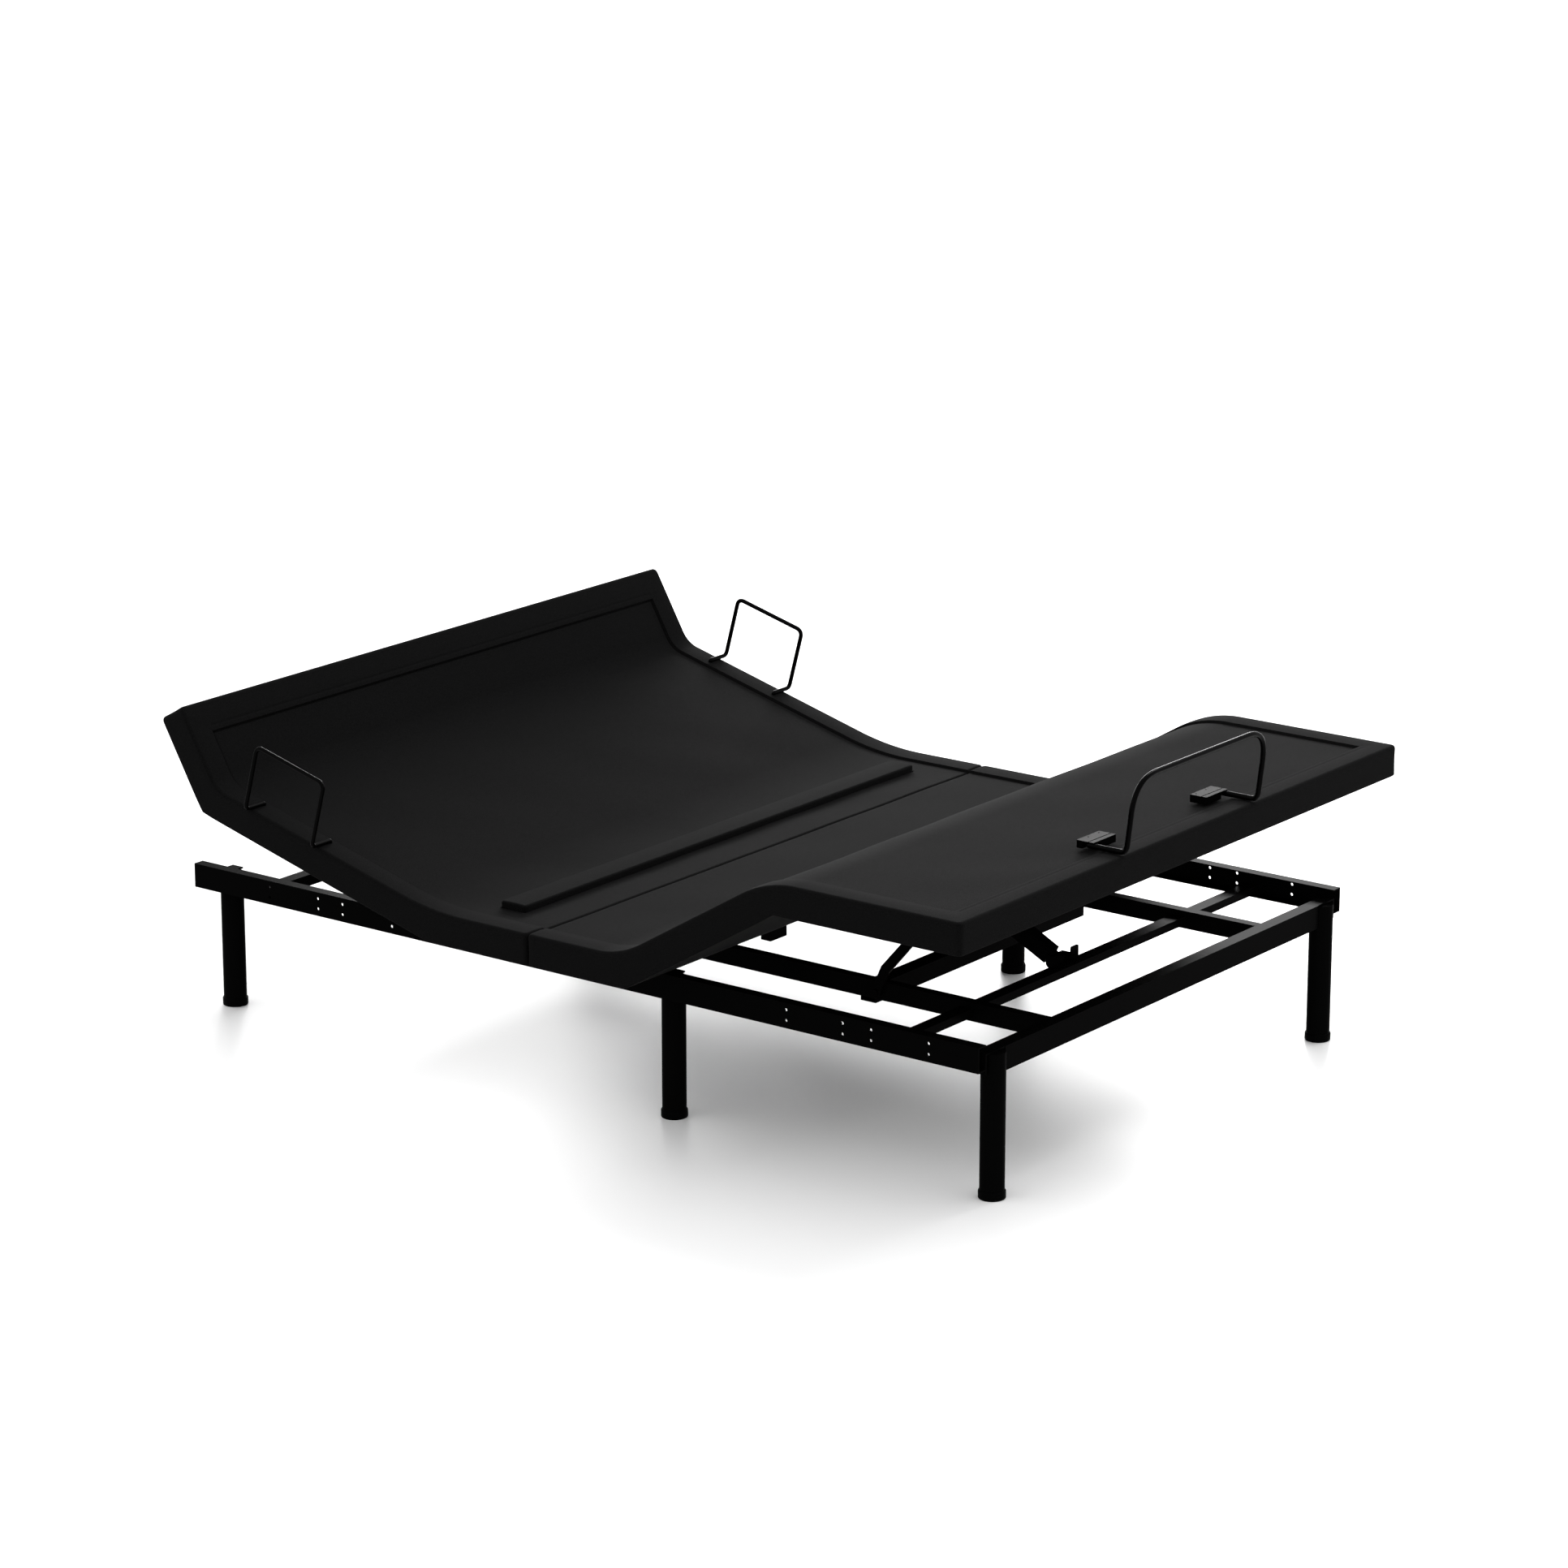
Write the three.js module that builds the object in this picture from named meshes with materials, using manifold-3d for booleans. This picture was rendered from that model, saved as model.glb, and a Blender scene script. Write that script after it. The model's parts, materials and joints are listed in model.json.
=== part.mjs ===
// Adjustable bed base: a steel frame on six legs that carries a split, upholstered deck.
// Units are millimetres. +X runs from the head to the foot, +Y to the far side, +Z up.
// Everything is laid out from the head end of the side rails, then moved so that the
// origin lies on the floor below the middle of the whole object.
import * as THREE from "three";
import { mergeVertices } from "three/addons/utils/BufferGeometryUtils.js";
import Module from "manifold-3d";

const wasm = await Module();
wasm.setup();

// ---- driving dimensions -------------------------------------------------------------
const ORIGIN_X = 912.35; // middle of the object, from the head end of the side rails
const GAP = 0.3; // clearance between pieces that touch

const RAIL_LENGTH = 1760;
const RAIL_OUTER = 570.4; // half the width over the side rails
const RAIL_TOP = 276.7;
const RAIL_HEIGHT = 45;
const RAIL_WALL = 2.5;
const RAIL_FLANGE = 22;
const HOLE_RADIUS = 3;
const HOLE_PITCH = 58.9;
const HOLE_STEPS = [0, 2, 3, 5];
const HOLE_GROUPS = [186.6, 1364.6];
const HOLE_ROWS = [245.4, 264.4];

const TUBE_TOP = 260.7; // top of the inner rails and of the foot cross tube
const INNER_RAIL = { inside: 321.5, outside: 341.5, bottom: 228, wall: 2 };
const CROSS_BAND = { bottom: 235, top: 256.6, width: 26 }; // cross tubes held in the side rails
const CROSS_HEAD_X = 146;
const CROSS_MIDDLE_X = 976;
const CROSS_ANCHOR_X = 1561;
const ANCHOR_DROP = 6.4; // keeps the anchor tube clear of the folded foot links
const CROSS_FOOT = { from: 1735, to: 1761, bottom: 217.6, reach: 494.4 };
const PIVOT_TUBE = { from: 1338, to: 1370, bottom: 212, top: 244 };

const LEG_X = [43.2, 1081.7, 1753.3];
const LEG_Y = 517.4;
const LEG_RADIUS = 21.5;
const CAP_RADIUS = 23.6;
const LEG_TOP = 256.9;

const HINGE_Z = 297.5; // back, seat and thigh hinges
const BACK_HINGE_X = 668;
const THIGH_HINGE_X = 1104;
const SEAM_X = 892.6;
const BACK_LENGTH = 541;
const TILT_LENGTH = 180;
const THIGH_LENGTH = 367.3;
const FOOT_LENGTH = 382;
const BACK_ANGLE = 15;
const TILT_ANGLE = 45;
const THIGH_ANGLE = 31;

// heights inside a deck section, measured from its hinge axis
const BOARD_BOTTOM = -17;
const BOARD_TOP = -2;
const PAD_BOTTOM = BOARD_TOP + GAP;
const PAD_TOP = 38.5;
const BOARD_HALF = 681;
const PAD_HALF = 684.5;
const LEAF = { reach: 34, thick: 2, bottom: -4.1, half: 640 };
const KNUCKLE_RADIUS = 4.3;

const LIFT_SHAFT = { x: 640, z: 244, radius: 15, journal: 8 };
const LIFT_ARM = { length: 300, flatAngle: 3, shoe: 12, spread: 88, crank: 60, crankY: -110 };
const BACK_ANCHOR = { x: 957, z: 222 };
const FOOT_ANCHOR = { x: 1546, z: 250, y: -25 };
const THIGH_PIN = { s: 205, z: -30 };
const LINK_PIVOT = { x: 1390, z: 244 };
const LINK = { length: 266, angle: 52, from: 344, thick: 6 };
const LUMBAR = { from: 745.4, to: 801.7, half: 580, top: 346, bottom: 318 };

const rad = THREE.MathUtils.degToRad;

// ---- materials ----------------------------------------------------------------------
const finish = (color, roughness, metalness) => () =>
  new THREE.MeshStandardMaterial({ color, roughness, metalness });
const blackSteel = finish(0x1b1b1c, 0.45, 0.6);
const zincSteel = finish(0x9a9c9e, 0.35, 0.9);
const blackPlastic = finish(0x161617, 0.55, 0.0);
const nylon = finish(0xd8d6cf, 0.5, 0.0);
const plywood = finish(0x8a7458, 0.8, 0.0);
const charcoalFabric = finish(0x2b2b2d, 0.95, 0.0);
const blackWire = finish(0x141415, 0.3, 0.7);

// ---- shape helpers ------------------------------------------------------------------
function box(x0, x1, y0, y1, z0, z1) {
  const geometry = new THREE.BoxGeometry(x1 - x0, y1 - y0, z1 - z0);
  return geometry.translate((x0 + x1) / 2, (y0 + y1) / 2, (z0 + z1) / 2);
}

const AXIS_BASIS = {
  x: [[0, 1, 0], [0, 0, 1], [1, 0, 0]],
  y: [[1, 0, 0], [0, 0, 1], [0, -1, 0]],
  z: [[1, 0, 0], [0, 1, 0], [0, 0, 1]],
};

// Pushes an outline along an axis. The outline holds (y, z), (x, z) or (x, y) pairs.
function extrude(axis, outline, from, to, holes = []) {
  const points = (list) => list.map(([u, v]) => new THREE.Vector2(u, v));
  const shape = new THREE.Shape(points(outline));
  for (const hole of holes) {
    shape.holes.push(new THREE.Path(points(hole)));
  }
  const geometry = new THREE.ExtrudeGeometry(shape, { depth: to - from, bevelEnabled: false });
  const basis = AXIS_BASIS[axis].map((v) => new THREE.Vector3(...v));
  geometry.applyMatrix4(new THREE.Matrix4().makeBasis(...basis));
  const start = axis === "y" ? to : from;
  const shift = { x: [start, 0, 0], y: [0, start, 0], z: [0, 0, start] }[axis];
  return geometry.translate(...shift);
}

function circle(u, v, radius, sides) {
  const points = [];
  for (let i = 0; i < sides; i += 1) {
    const a = ((i + 0.5) / sides) * 2 * Math.PI;
    points.push([u + radius * Math.cos(a), v + radius * Math.sin(a)]);
  }
  return points;
}

function rod(axis, u, v, radius, from, to, sides = 16) {
  return extrude(axis, circle(u, v, radius, sides), from, to);
}

// Corner list of [u, v, radius], turned into an outline with round corners.
function rounded(corners, steps = 5) {
  const outline = [];
  corners.forEach(([u, v, radius], i) => {
    const corner = new THREE.Vector2(u, v);
    if (!radius) {
      outline.push([u, v]);
      return;
    }
    const before = corners[(i + corners.length - 1) % corners.length];
    const after = corners[(i + 1) % corners.length];
    const toBefore = new THREE.Vector2(before[0] - u, before[1] - v).normalize();
    const toAfter = new THREE.Vector2(after[0] - u, after[1] - v).normalize();
    const half = Math.acos(THREE.MathUtils.clamp(toBefore.dot(toAfter), -1, 1)) / 2;
    const reach = radius / Math.tan(half);
    const start = corner.clone().addScaledVector(toBefore, reach);
    const end = corner.clone().addScaledVector(toAfter, reach);
    const middle = toBefore.clone().add(toAfter).normalize();
    const centre = corner.clone().addScaledVector(middle, radius / Math.sin(half));
    const a0 = Math.atan2(start.y - centre.y, start.x - centre.x);
    const a1 = Math.atan2(end.y - centre.y, end.x - centre.x);
    const turn = Math.atan2(Math.sin(a1 - a0), Math.cos(a1 - a0));
    for (let k = 0; k <= steps; k += 1) {
      const a = a0 + (turn * k) / steps;
      outline.push([centre.x + radius * Math.cos(a), centre.y + radius * Math.sin(a)]);
    }
  });
  return outline;
}

function rectangle(u0, u1, v0, v1) {
  return [[u0, v0], [u1, v0], [u1, v1], [u0, v1]];
}

function toSolid(geometry) {
  const bare = geometry.clone();
  bare.deleteAttribute("normal");
  bare.deleteAttribute("uv");
  const merged = mergeVertices(bare, 1e-4);
  return new wasm.Manifold(new wasm.Mesh({
    numProp: 3,
    vertProperties: new Float32Array(merged.attributes.position.array),
    triVerts: new Uint32Array(merged.index.array),
  }));
}

function toGeometry(solid) {
  const mesh = solid.getMesh();
  const indexed = new THREE.BufferGeometry();
  indexed.setAttribute("position", new THREE.BufferAttribute(mesh.vertProperties, 3));
  indexed.setIndex(new THREE.BufferAttribute(mesh.triVerts, 1));
  const geometry = indexed.toNonIndexed();
  geometry.computeVertexNormals();
  return geometry;
}

function join(...geometries) {
  return toGeometry(geometries.map(toSolid).reduce((whole, next) => whole.add(next)));
}

function cut(geometry, ...tools) {
  return toGeometry(tools.map(toSolid).reduce((whole, tool) => whole.subtract(tool), toSolid(geometry)));
}

function part(name, geometry, material) {
  const mesh = new THREE.Mesh(geometry, material());
  mesh.name = name;
  return mesh;
}

// Turns +X towards +Z by an angle in degrees, about a point on the XZ plane.
function tilted(x, z, degrees, ...children) {
  const group = new THREE.Group();
  group.position.set(x, 0, z);
  group.rotation.y = -rad(degrees);
  group.add(...children);
  return group;
}

const SIDES = [["near", -1], ["far", 1]];
const span = (side, a, b) => (side < 0 ? [-b, -a] : [a, b]);

// ---- frame --------------------------------------------------------------------------
function sideRail(side) {
  const bottom = RAIL_TOP - RAIL_HEIGHT;
  const [web0, web1] = span(side, RAIL_OUTER - RAIL_WALL, RAIL_OUTER);
  const [flange0, flange1] = span(side, RAIL_OUTER - RAIL_FLANGE, RAIL_OUTER);
  const holes = [];
  for (const start of HOLE_GROUPS) {
    for (const step of HOLE_STEPS) {
      for (const z of HOLE_ROWS) {
        holes.push(circle(start + step * HOLE_PITCH, z, HOLE_RADIUS, 8));
      }
    }
  }
  const web = extrude("y", rectangle(0, RAIL_LENGTH, bottom, RAIL_TOP), web0, web1, holes);
  const top = box(0, RAIL_LENGTH, flange0, flange1, RAIL_TOP - RAIL_WALL, RAIL_TOP);
  const foot = box(0, RAIL_LENGTH, flange0, flange1, bottom, bottom + RAIL_WALL);
  return join(web, top, foot, ...LEG_X.flatMap((x) => legBracket(x, side)));
}

// A hanging plate on the flange edges with a flat gusset that covers the leg's top.
function legBracket(x, side) {
  const edge = RAIL_OUTER - RAIL_FLANGE;
  const right = Math.min(x + 7.2, RAIL_LENGTH);
  const [plate0, plate1] = span(side, edge - 1.9, edge + 1.1);
  const hanger = box(x - 12, right, plate0, plate1, 224, TUBE_TOP);
  const left = x - 18.3;
  const gusset = rounded([
    [left - 15, side * (edge + 1.1), 0],
    [left - 15, side * edge, 0],
    [left, side * edge, 14],
    [left, side * (edge - 54), 0],
    [right, side * (edge - 54), 0],
    [right, side * (edge + 1.1), 0],
  ]);
  return [hanger, extrude("z", side > 0 ? gusset.reverse() : gusset, TUBE_TOP - 3, TUBE_TOP)];
}

function innerRail(side) {
  const { inside, outside, bottom, wall } = INNER_RAIL;
  const from = CROSS_HEAD_X + CROSS_BAND.width + GAP;
  const to = CROSS_FOOT.from - GAP;
  const outer = rectangle(...span(side, inside, outside), bottom, TUBE_TOP);
  const bore = rectangle(...span(side, inside + wall, outside - wall), bottom + wall, TUBE_TOP - wall);
  const tube = extrude("x", outer, from, to, [bore]);
  const pin = rod("y", LINK_PIVOT.x, LINK_PIVOT.z, 5, ...span(side, outside - wall, outside + 12), 12);
  const [y0, y1] = span(side, inside - 5, outside + 5);
  const windows = [[CROSS_MIDDLE_X, 0], [CROSS_ANCHOR_X, ANCHOR_DROP]].map(([x, drop]) =>
    box(x - GAP, x + CROSS_BAND.width + GAP, y0, y1,
      CROSS_BAND.bottom - GAP, CROSS_BAND.top - drop + GAP));
  const bearing = rod("y", LIFT_SHAFT.x, LIFT_SHAFT.z, LIFT_SHAFT.journal + 0.6, y0, y1, 12);
  return cut(join(tube, pin), bearing, ...windows);
}

function crossBand(x, drop = 0, reach = RAIL_OUTER - RAIL_WALL - GAP) {
  const { bottom } = CROSS_BAND;
  const top = CROSS_BAND.top - drop;
  const right = x + CROSS_BAND.width;
  const bore = rectangle(x + 2, right - 2, bottom + 2, top - 2);
  return extrude("y", rectangle(x, right, bottom, top), -reach, reach, [bore]);
}

// Two ears on the face of a cross tube, with the pin that an actuator's eye turns on.
function clevis(pin, face, y, gapHalf) {
  const ears = [-1, 1].map((side) => {
    const [y0, y1] = side < 0 ? [y - gapHalf - 5, y - gapHalf] : [y + gapHalf, y + gapHalf + 5];
    const outline = rounded([
      [face, pin.z - 11, 0],
      [pin.x - 10, pin.z - 11, 8],
      [pin.x - 10, pin.z + 11, 8],
      [face, pin.z + 11, 0],
    ], 4);
    return extrude("y", outline, y0, y1);
  });
  return [...ears, rod("y", pin.x, pin.z, 5, y - gapHalf - 2, y + gapHalf + 2, 12)];
}

function crossMiddle() {
  const hanger = box(CROSS_MIDDLE_X + 2, CROSS_MIDDLE_X + 24, -134, -86, 206, CROSS_BAND.bottom + 1);
  return join(crossBand(CROSS_MIDDLE_X), hanger,
    ...clevis(BACK_ANCHOR, CROSS_MIDDLE_X + 4, LIFT_ARM.crankY, 14));
}

function crossAnchor() {
  const tab = extrude("x", rounded([
    [FOOT_ANCHOR.y + 16, CROSS_BAND.top - ANCHOR_DROP - 1, 0],
    [FOOT_ANCHOR.y + 38, CROSS_BAND.top - ANCHOR_DROP - 1, 0],
    [FOOT_ANCHOR.y + 38, 272, 3],
    [FOOT_ANCHOR.y + 16, 272, 3],
  ], 2), CROSS_ANCHOR_X + 1, CROSS_ANCHOR_X + 4);
  return join(crossBand(CROSS_ANCHOR_X, ANCHOR_DROP), tab,
    ...clevis(FOOT_ANCHOR, CROSS_ANCHOR_X + 1, FOOT_ANCHOR.y, 16));
}

function crossFoot() {
  const { from, to, bottom, reach } = CROSS_FOOT;
  const outer = rectangle(from, to, bottom, TUBE_TOP);
  return extrude("y", outer, -reach + GAP, reach - GAP,
    [rectangle(from + 2, to - 2, bottom + 2, TUBE_TOP - 2)]);
}

function pivotTube() {
  const { from, to, bottom, top } = PIVOT_TUBE;
  const reach = INNER_RAIL.inside - GAP;
  return extrude("y", rectangle(from, to, bottom, top), -reach, reach,
    [rectangle(from + 2, to - 2, bottom + 2, top - 2)]);
}

function leg() {
  const wall = 1.8;
  const profile = [
    [0, LEG_TOP - wall], [LEG_RADIUS - wall, LEG_TOP - wall], [LEG_RADIUS - wall, 6], [6, 6], [6, 0],
    [CAP_RADIUS - 1.6, 0], [CAP_RADIUS, 1.6], [CAP_RADIUS, 14], [LEG_RADIUS, 16],
    [LEG_RADIUS, LEG_TOP - 1.5], [LEG_RADIUS - 1.5, LEG_TOP], [0, LEG_TOP],
  ];
  const geometry = new THREE.LatheGeometry(profile.map(([r, z]) => new THREE.Vector2(r, z)), 18);
  return geometry.rotateX(Math.PI / 2);
}

function frame() {
  const meshes = SIDES.flatMap(([name, side]) => [
    part(`side_rail_${name}`, sideRail(side), blackSteel),
    part(`inner_rail_${name}`, innerRail(side), blackSteel),
  ]);
  meshes.push(
    part("cross_tube_head", crossBand(CROSS_HEAD_X), blackSteel),
    part("cross_tube_middle", crossMiddle(), blackSteel),
    part("cross_tube_thigh", pivotTube(), blackSteel),
    part("cross_tube_anchor", crossAnchor(), blackSteel),
    part("cross_tube_foot", crossFoot(), blackSteel),
  );
  for (const [name, side] of SIDES) {
    ["head", "middle", "foot"].forEach((place, i) => {
      const mesh = part(`leg_${place}_${name}`, leg(), blackSteel);
      mesh.position.set(LEG_X[i], side * LEG_Y, 0);
      meshes.push(mesh);
    });
  }
  return meshes;
}

// ---- deck sections ------------------------------------------------------------------
// A section lies along local x from its hinge axis at 0, between two ends in mm.
function slab(from, to, half, bottom, top, freeEnd = 0, radius = 12) {
  const r = (end) => (end === freeEnd ? radius : 4);
  const outline = rounded([[from, -half, r(-1)], [to, -half, r(1)], [to, half, r(1)], [from, half, r(-1)]], 4);
  return extrude("z", outline, bottom, top);
}

// A board with a shallow rebate along each edge that carries a hinge leaf.
function board(from, to, freeEnd, hingeEdges) {
  const body = slab(from, to, BOARD_HALF, BOARD_BOTTOM, BOARD_TOP, freeEnd);
  const rebates = hingeEdges.map(([axisX, direction]) => {
    const reach = axisX + direction * (LEAF.reach + 1);
    const [x0, x1] = direction > 0 ? [axisX - 1, reach] : [reach, axisX + 1];
    return box(x0, x1, -LEAF.half - 4, LEAF.half + 4, LEAF.bottom - GAP, BOARD_TOP + 5);
  });
  return cut(body, ...rebates);
}

const pad = (from, to, freeEnd) => slab(from, to, PAD_HALF, PAD_BOTTOM, PAD_TOP, freeEnd);

// One leaf of a full-width hinge. The fixed leaf holds the pin, the moving leaf turns on it.
function leaf(axisX, direction, fixed) {
  const knuckles = 5;
  const pitch = (2 * LEAF.half) / knuckles;
  const sheet = direction > 0 ? [axisX + 5.4, axisX + LEAF.reach] : [axisX - LEAF.reach, axisX - 5.4];
  const tab = direction > 0 ? [axisX, axisX + 6] : [axisX - 6, axisX];
  const top = LEAF.bottom + LEAF.thick;
  const pieces = [box(...sheet, -LEAF.half, LEAF.half, LEAF.bottom, top)];
  const bores = [];
  for (let i = fixed ? 0 : 1; i < knuckles; i += 2) {
    const y0 = -LEAF.half + i * pitch + (fixed ? 0 : 0.5);
    const y1 = -LEAF.half + (i + 1) * pitch - (fixed ? 0 : 0.5);
    pieces.push(box(...tab, y0, y1, LEAF.bottom, top));
    pieces.push(rod("y", axisX, 0, KNUCKLE_RADIUS, y0, y1, 10));
    bores.push(rod("y", axisX, 0, 2.5, y0 - 1, y1 + 1, 8));
  }
  if (fixed) {
    return join(...pieces, rod("y", axisX, 0, 2, -LEAF.half + 1, LEAF.half - 1, 8));
  }
  return cut(join(...pieces), ...bores);
}

function backSection() {
  const tilt = tilted(-BACK_LENGTH, 0, -TILT_ANGLE,
    part("tilt_board", board(-TILT_LENGTH, -1.6, -1, [[0, -1]]), plywood),
    part("tilt_pad", pad(-TILT_LENGTH, -20, -1), charcoalFabric),
    part("tilt_hinge_moving", leaf(0, -1, false), zincSteel),
    ...tiltDrive(),
  );
  return tilted(BACK_HINGE_X, HINGE_Z, -BACK_ANGLE,
    part("back_board", board(-BACK_LENGTH + 1.6, -1.6, 0, [[0, -1], [-BACK_LENGTH, 1]]), plywood),
    part("back_pad", pad(-BACK_LENGTH + 20, -26, 0), charcoalFabric),
    part("back_hinge_moving", leaf(0, -1, false), zincSteel),
    part("tilt_hinge_fixed", leaf(-BACK_LENGTH, 1, true), zincSteel),
    part("back_runner", backRunner(), nylon),
    part("tilt_bracket", tiltBracket(), blackSteel),
    ...SIDES.map(([name, side]) => part(`retainer_${name}`, sideRetainer(side), blackWire)),
    tilt,
  );
}

function seatSection() {
  const shift = (geometry) => geometry.translate(0, 0, HINGE_Z);
  const slot = box(LUMBAR.from - 2, LUMBAR.to + 2, -LUMBAR.half - 2, LUMBAR.half + 2, -10, 50);
  const guides = [-300, 0, 300].map((y) => rod("z", (LUMBAR.from + LUMBAR.to) / 2, y, 9.4, -30, 10, 12));
  const headBoard = board(BACK_HINGE_X + 1.6, SEAM_X - 1, 0, [[BACK_HINGE_X, 1]]);
  const footBoard = board(SEAM_X + 1, THIGH_HINGE_X - 1.6, 0, [[THIGH_HINGE_X, -1]]);
  return [
    part("seat_board_head", shift(cut(headBoard, ...guides)), plywood),
    part("seat_board_foot", shift(footBoard), plywood),
    part("seat_pad_head", shift(cut(pad(BACK_HINGE_X + 26, SEAM_X - 2, 0), slot)), charcoalFabric),
    part("seat_pad_foot", shift(pad(SEAM_X + 2, THIGH_HINGE_X - 15, 0)), charcoalFabric),
    part("back_hinge_fixed", shift(leaf(BACK_HINGE_X, 1, true)), zincSteel),
    part("thigh_hinge_fixed", shift(leaf(THIGH_HINGE_X, -1, true)), zincSteel),
  ];
}

function thighSection() {
  const kneeTrim = 7;
  const foot = tilted(THIGH_LENGTH, 0, -THIGH_ANGLE,
    part("foot_board", board(kneeTrim, FOOT_LENGTH, 1, [[0, 1]]), plywood),
    part("foot_pad", pad(5, FOOT_LENGTH, 1), charcoalFabric),
    part("knee_hinge_moving", leaf(0, 1, false), zincSteel),
    part("retainer_foot", footRetainer(), blackWire),
    ...SIDES.flatMap(([name, side]) => [
      part(`retainer_clamp_${name}`, retainerClamp(side), blackPlastic),
      part(`link_track_${name}`, linkTrack(side), zincSteel),
    ]),
  );
  return tilted(THIGH_HINGE_X, HINGE_Z, THIGH_ANGLE,
    part("thigh_board", board(1.6, THIGH_LENGTH - kneeTrim, 0, [[0, 1], [THIGH_LENGTH, -1]]), plywood),
    part("thigh_pad", pad(15, THIGH_LENGTH - 5, 0), charcoalFabric),
    part("thigh_hinge_moving", leaf(0, 1, false), zincSteel),
    part("knee_hinge_fixed", leaf(THIGH_LENGTH, -1, true), zincSteel),
    part("thigh_bracket", thighBracket(), blackSteel),
    foot,
  );
}

// ---- mattress retainers -------------------------------------------------------------
// A round wire along a path with bends of a given radius at its inner corners.
function wire(points, bend, radius, steps) {
  const path = new THREE.CurvePath();
  const corners = points.map((p) => new THREE.Vector3(...p));
  let start = corners[0];
  for (let i = 1; i < corners.length - 1; i += 1) {
    const before = corners[i - 1].clone().sub(corners[i]).normalize();
    const after = corners[i + 1].clone().sub(corners[i]).normalize();
    const entry = corners[i].clone().addScaledVector(before, bend[i - 1]);
    const exit = corners[i].clone().addScaledVector(after, bend[i - 1]);
    path.add(new THREE.LineCurve3(start, entry));
    path.add(new THREE.QuadraticBezierCurve3(entry, corners[i], exit));
    start = exit;
  }
  path.add(new THREE.LineCurve3(start, corners[corners.length - 1]));
  const section = new THREE.Shape(circle(0, 0, radius, 8).map(([u, v]) => new THREE.Vector2(u, v)));
  return new THREE.ExtrudeGeometry(section, { extrudePath: path, steps, bevelEnabled: false });
}

// A U of wire beside the back section, its ends turned in over the pad.
function sideRetainer(side) {
  const headX = -440;
  const footX = -277;
  const outside = side * 699;
  const inside = side * 654;
  const low = PAD_TOP + 5.5;
  const high = PAD_TOP + 130;
  return wire([
    [headX, inside, low], [headX, outside, low], [headX, outside, high],
    [footX, outside, high], [footX, outside, low], [footX, inside, low],
  ], [10, 14, 14, 10], 4.2, 36);
}

// The taller bar at the foot end leans outwards a little.
function footRetainer() {
  const base = FOOT_LENGTH - 78;
  const edge = FOOT_LENGTH + 3;
  const low = PAD_TOP + 7;
  const high = PAD_TOP + 138;
  return wire([
    [base, -150, low], [base, -206, low], [edge, -206, low], [edge + 16, -206, high],
    [edge + 16, 206, high], [edge, 206, low], [base, 206, low], [base, 150, low],
  ], [12, 14, 62, 62, 14, 12], 5, 56);
}

// A flat block, grooved along its top, that grips the end of the foot retainer.
function retainerClamp(side) {
  const base = FOOT_LENGTH - 78;
  const top = PAD_TOP + 14;
  const block = box(base - 17, base + 17, ...span(side, 142, 210), PAD_TOP + GAP, top);
  const wireHole = rod("y", base, PAD_TOP + 7, 5.4, ...span(side, 149, 210), 8);
  const outlet = box(base - 5.4, base + 18, ...span(side, 190, 212), PAD_TOP - 1, PAD_TOP + 12.4);
  const groove = box(base + 5.6, base + 7.8, ...span(side, 141, 211), top - 3, top + 1);
  const screws = [152, 184].map((y) => rod("z", base - 11, side * y, 1.8, PAD_TOP + 8, top + 1, 8));
  return cut(block, wireHole, outlet, groove, ...screws);
}

// ---- lifting gear -------------------------------------------------------------------
const armTip = (degrees) => ({
  x: LIFT_SHAFT.x - LIFT_ARM.length * Math.cos(rad(degrees)),
  z: LIFT_SHAFT.z + LIFT_ARM.length * Math.sin(rad(degrees)),
});

// The lift shaft, its two arms, the cross bar that they push with, and the crank.
function liftArm() {
  const restAngle = LIFT_ARM.flatAngle + BACK_ANGLE;
  const tip = armTip(restAngle);
  const { x, z } = LIFT_SHAFT;
  const up = [Math.sin(rad(restAngle)), Math.cos(rad(restAngle))];
  const arms = [-1, 1].map((side) => {
    const [y0, y1] = span(side, LIFT_ARM.spread - 4, LIFT_ARM.spread + 4);
    const outline = [
      [x + 14 * up[0], z + 14 * up[1]], [tip.x + 9 * up[0], tip.z + 9 * up[1]],
      [tip.x - 9 * up[0], tip.z - 9 * up[1]], [x - 14 * up[0], z - 14 * up[1]],
    ];
    return extrude("y", outline, y0, y1);
  });
  const pin = crankPin();
  const toPin = Math.atan2(pin.z - z, pin.x - x);
  const across = [-Math.sin(toPin), Math.cos(toPin)];
  const crank = extrude("y", [
    [x + 13 * across[0], z + 13 * across[1]], [x - 13 * across[0], z - 13 * across[1]],
    [pin.x - 10 * across[0], pin.z - 10 * across[1]], [pin.x + 10 * across[0], pin.z + 10 * across[1]],
  ], LIFT_ARM.crankY - 4, LIFT_ARM.crankY + 4);
  const boss = rod("y", pin.x, pin.z, 11, LIFT_ARM.crankY - 4, LIFT_ARM.crankY + 4);
  const solid = join(
    rod("y", x, z, LIFT_SHAFT.radius, -INNER_RAIL.inside + 2, INNER_RAIL.inside - 2),
    rod("y", x, z, LIFT_SHAFT.journal, -INNER_RAIL.outside - 3, INNER_RAIL.outside + 3, 12),
    rod("y", tip.x, tip.z, LIFT_ARM.shoe, -LIFT_ARM.spread - 8, LIFT_ARM.spread + 8),
    ...arms, crank, boss,
  );
  return cut(solid, rod("y", pin.x, pin.z, 5.4, LIFT_ARM.crankY - 9, LIFT_ARM.crankY + 9, 12));
}

function crankPin() {
  const angle = rad(-90 + BACK_ANGLE);
  return {
    x: LIFT_SHAFT.x + LIFT_ARM.crank * Math.cos(angle),
    z: LIFT_SHAFT.z + LIFT_ARM.crank * Math.sin(angle),
  };
}

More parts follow.
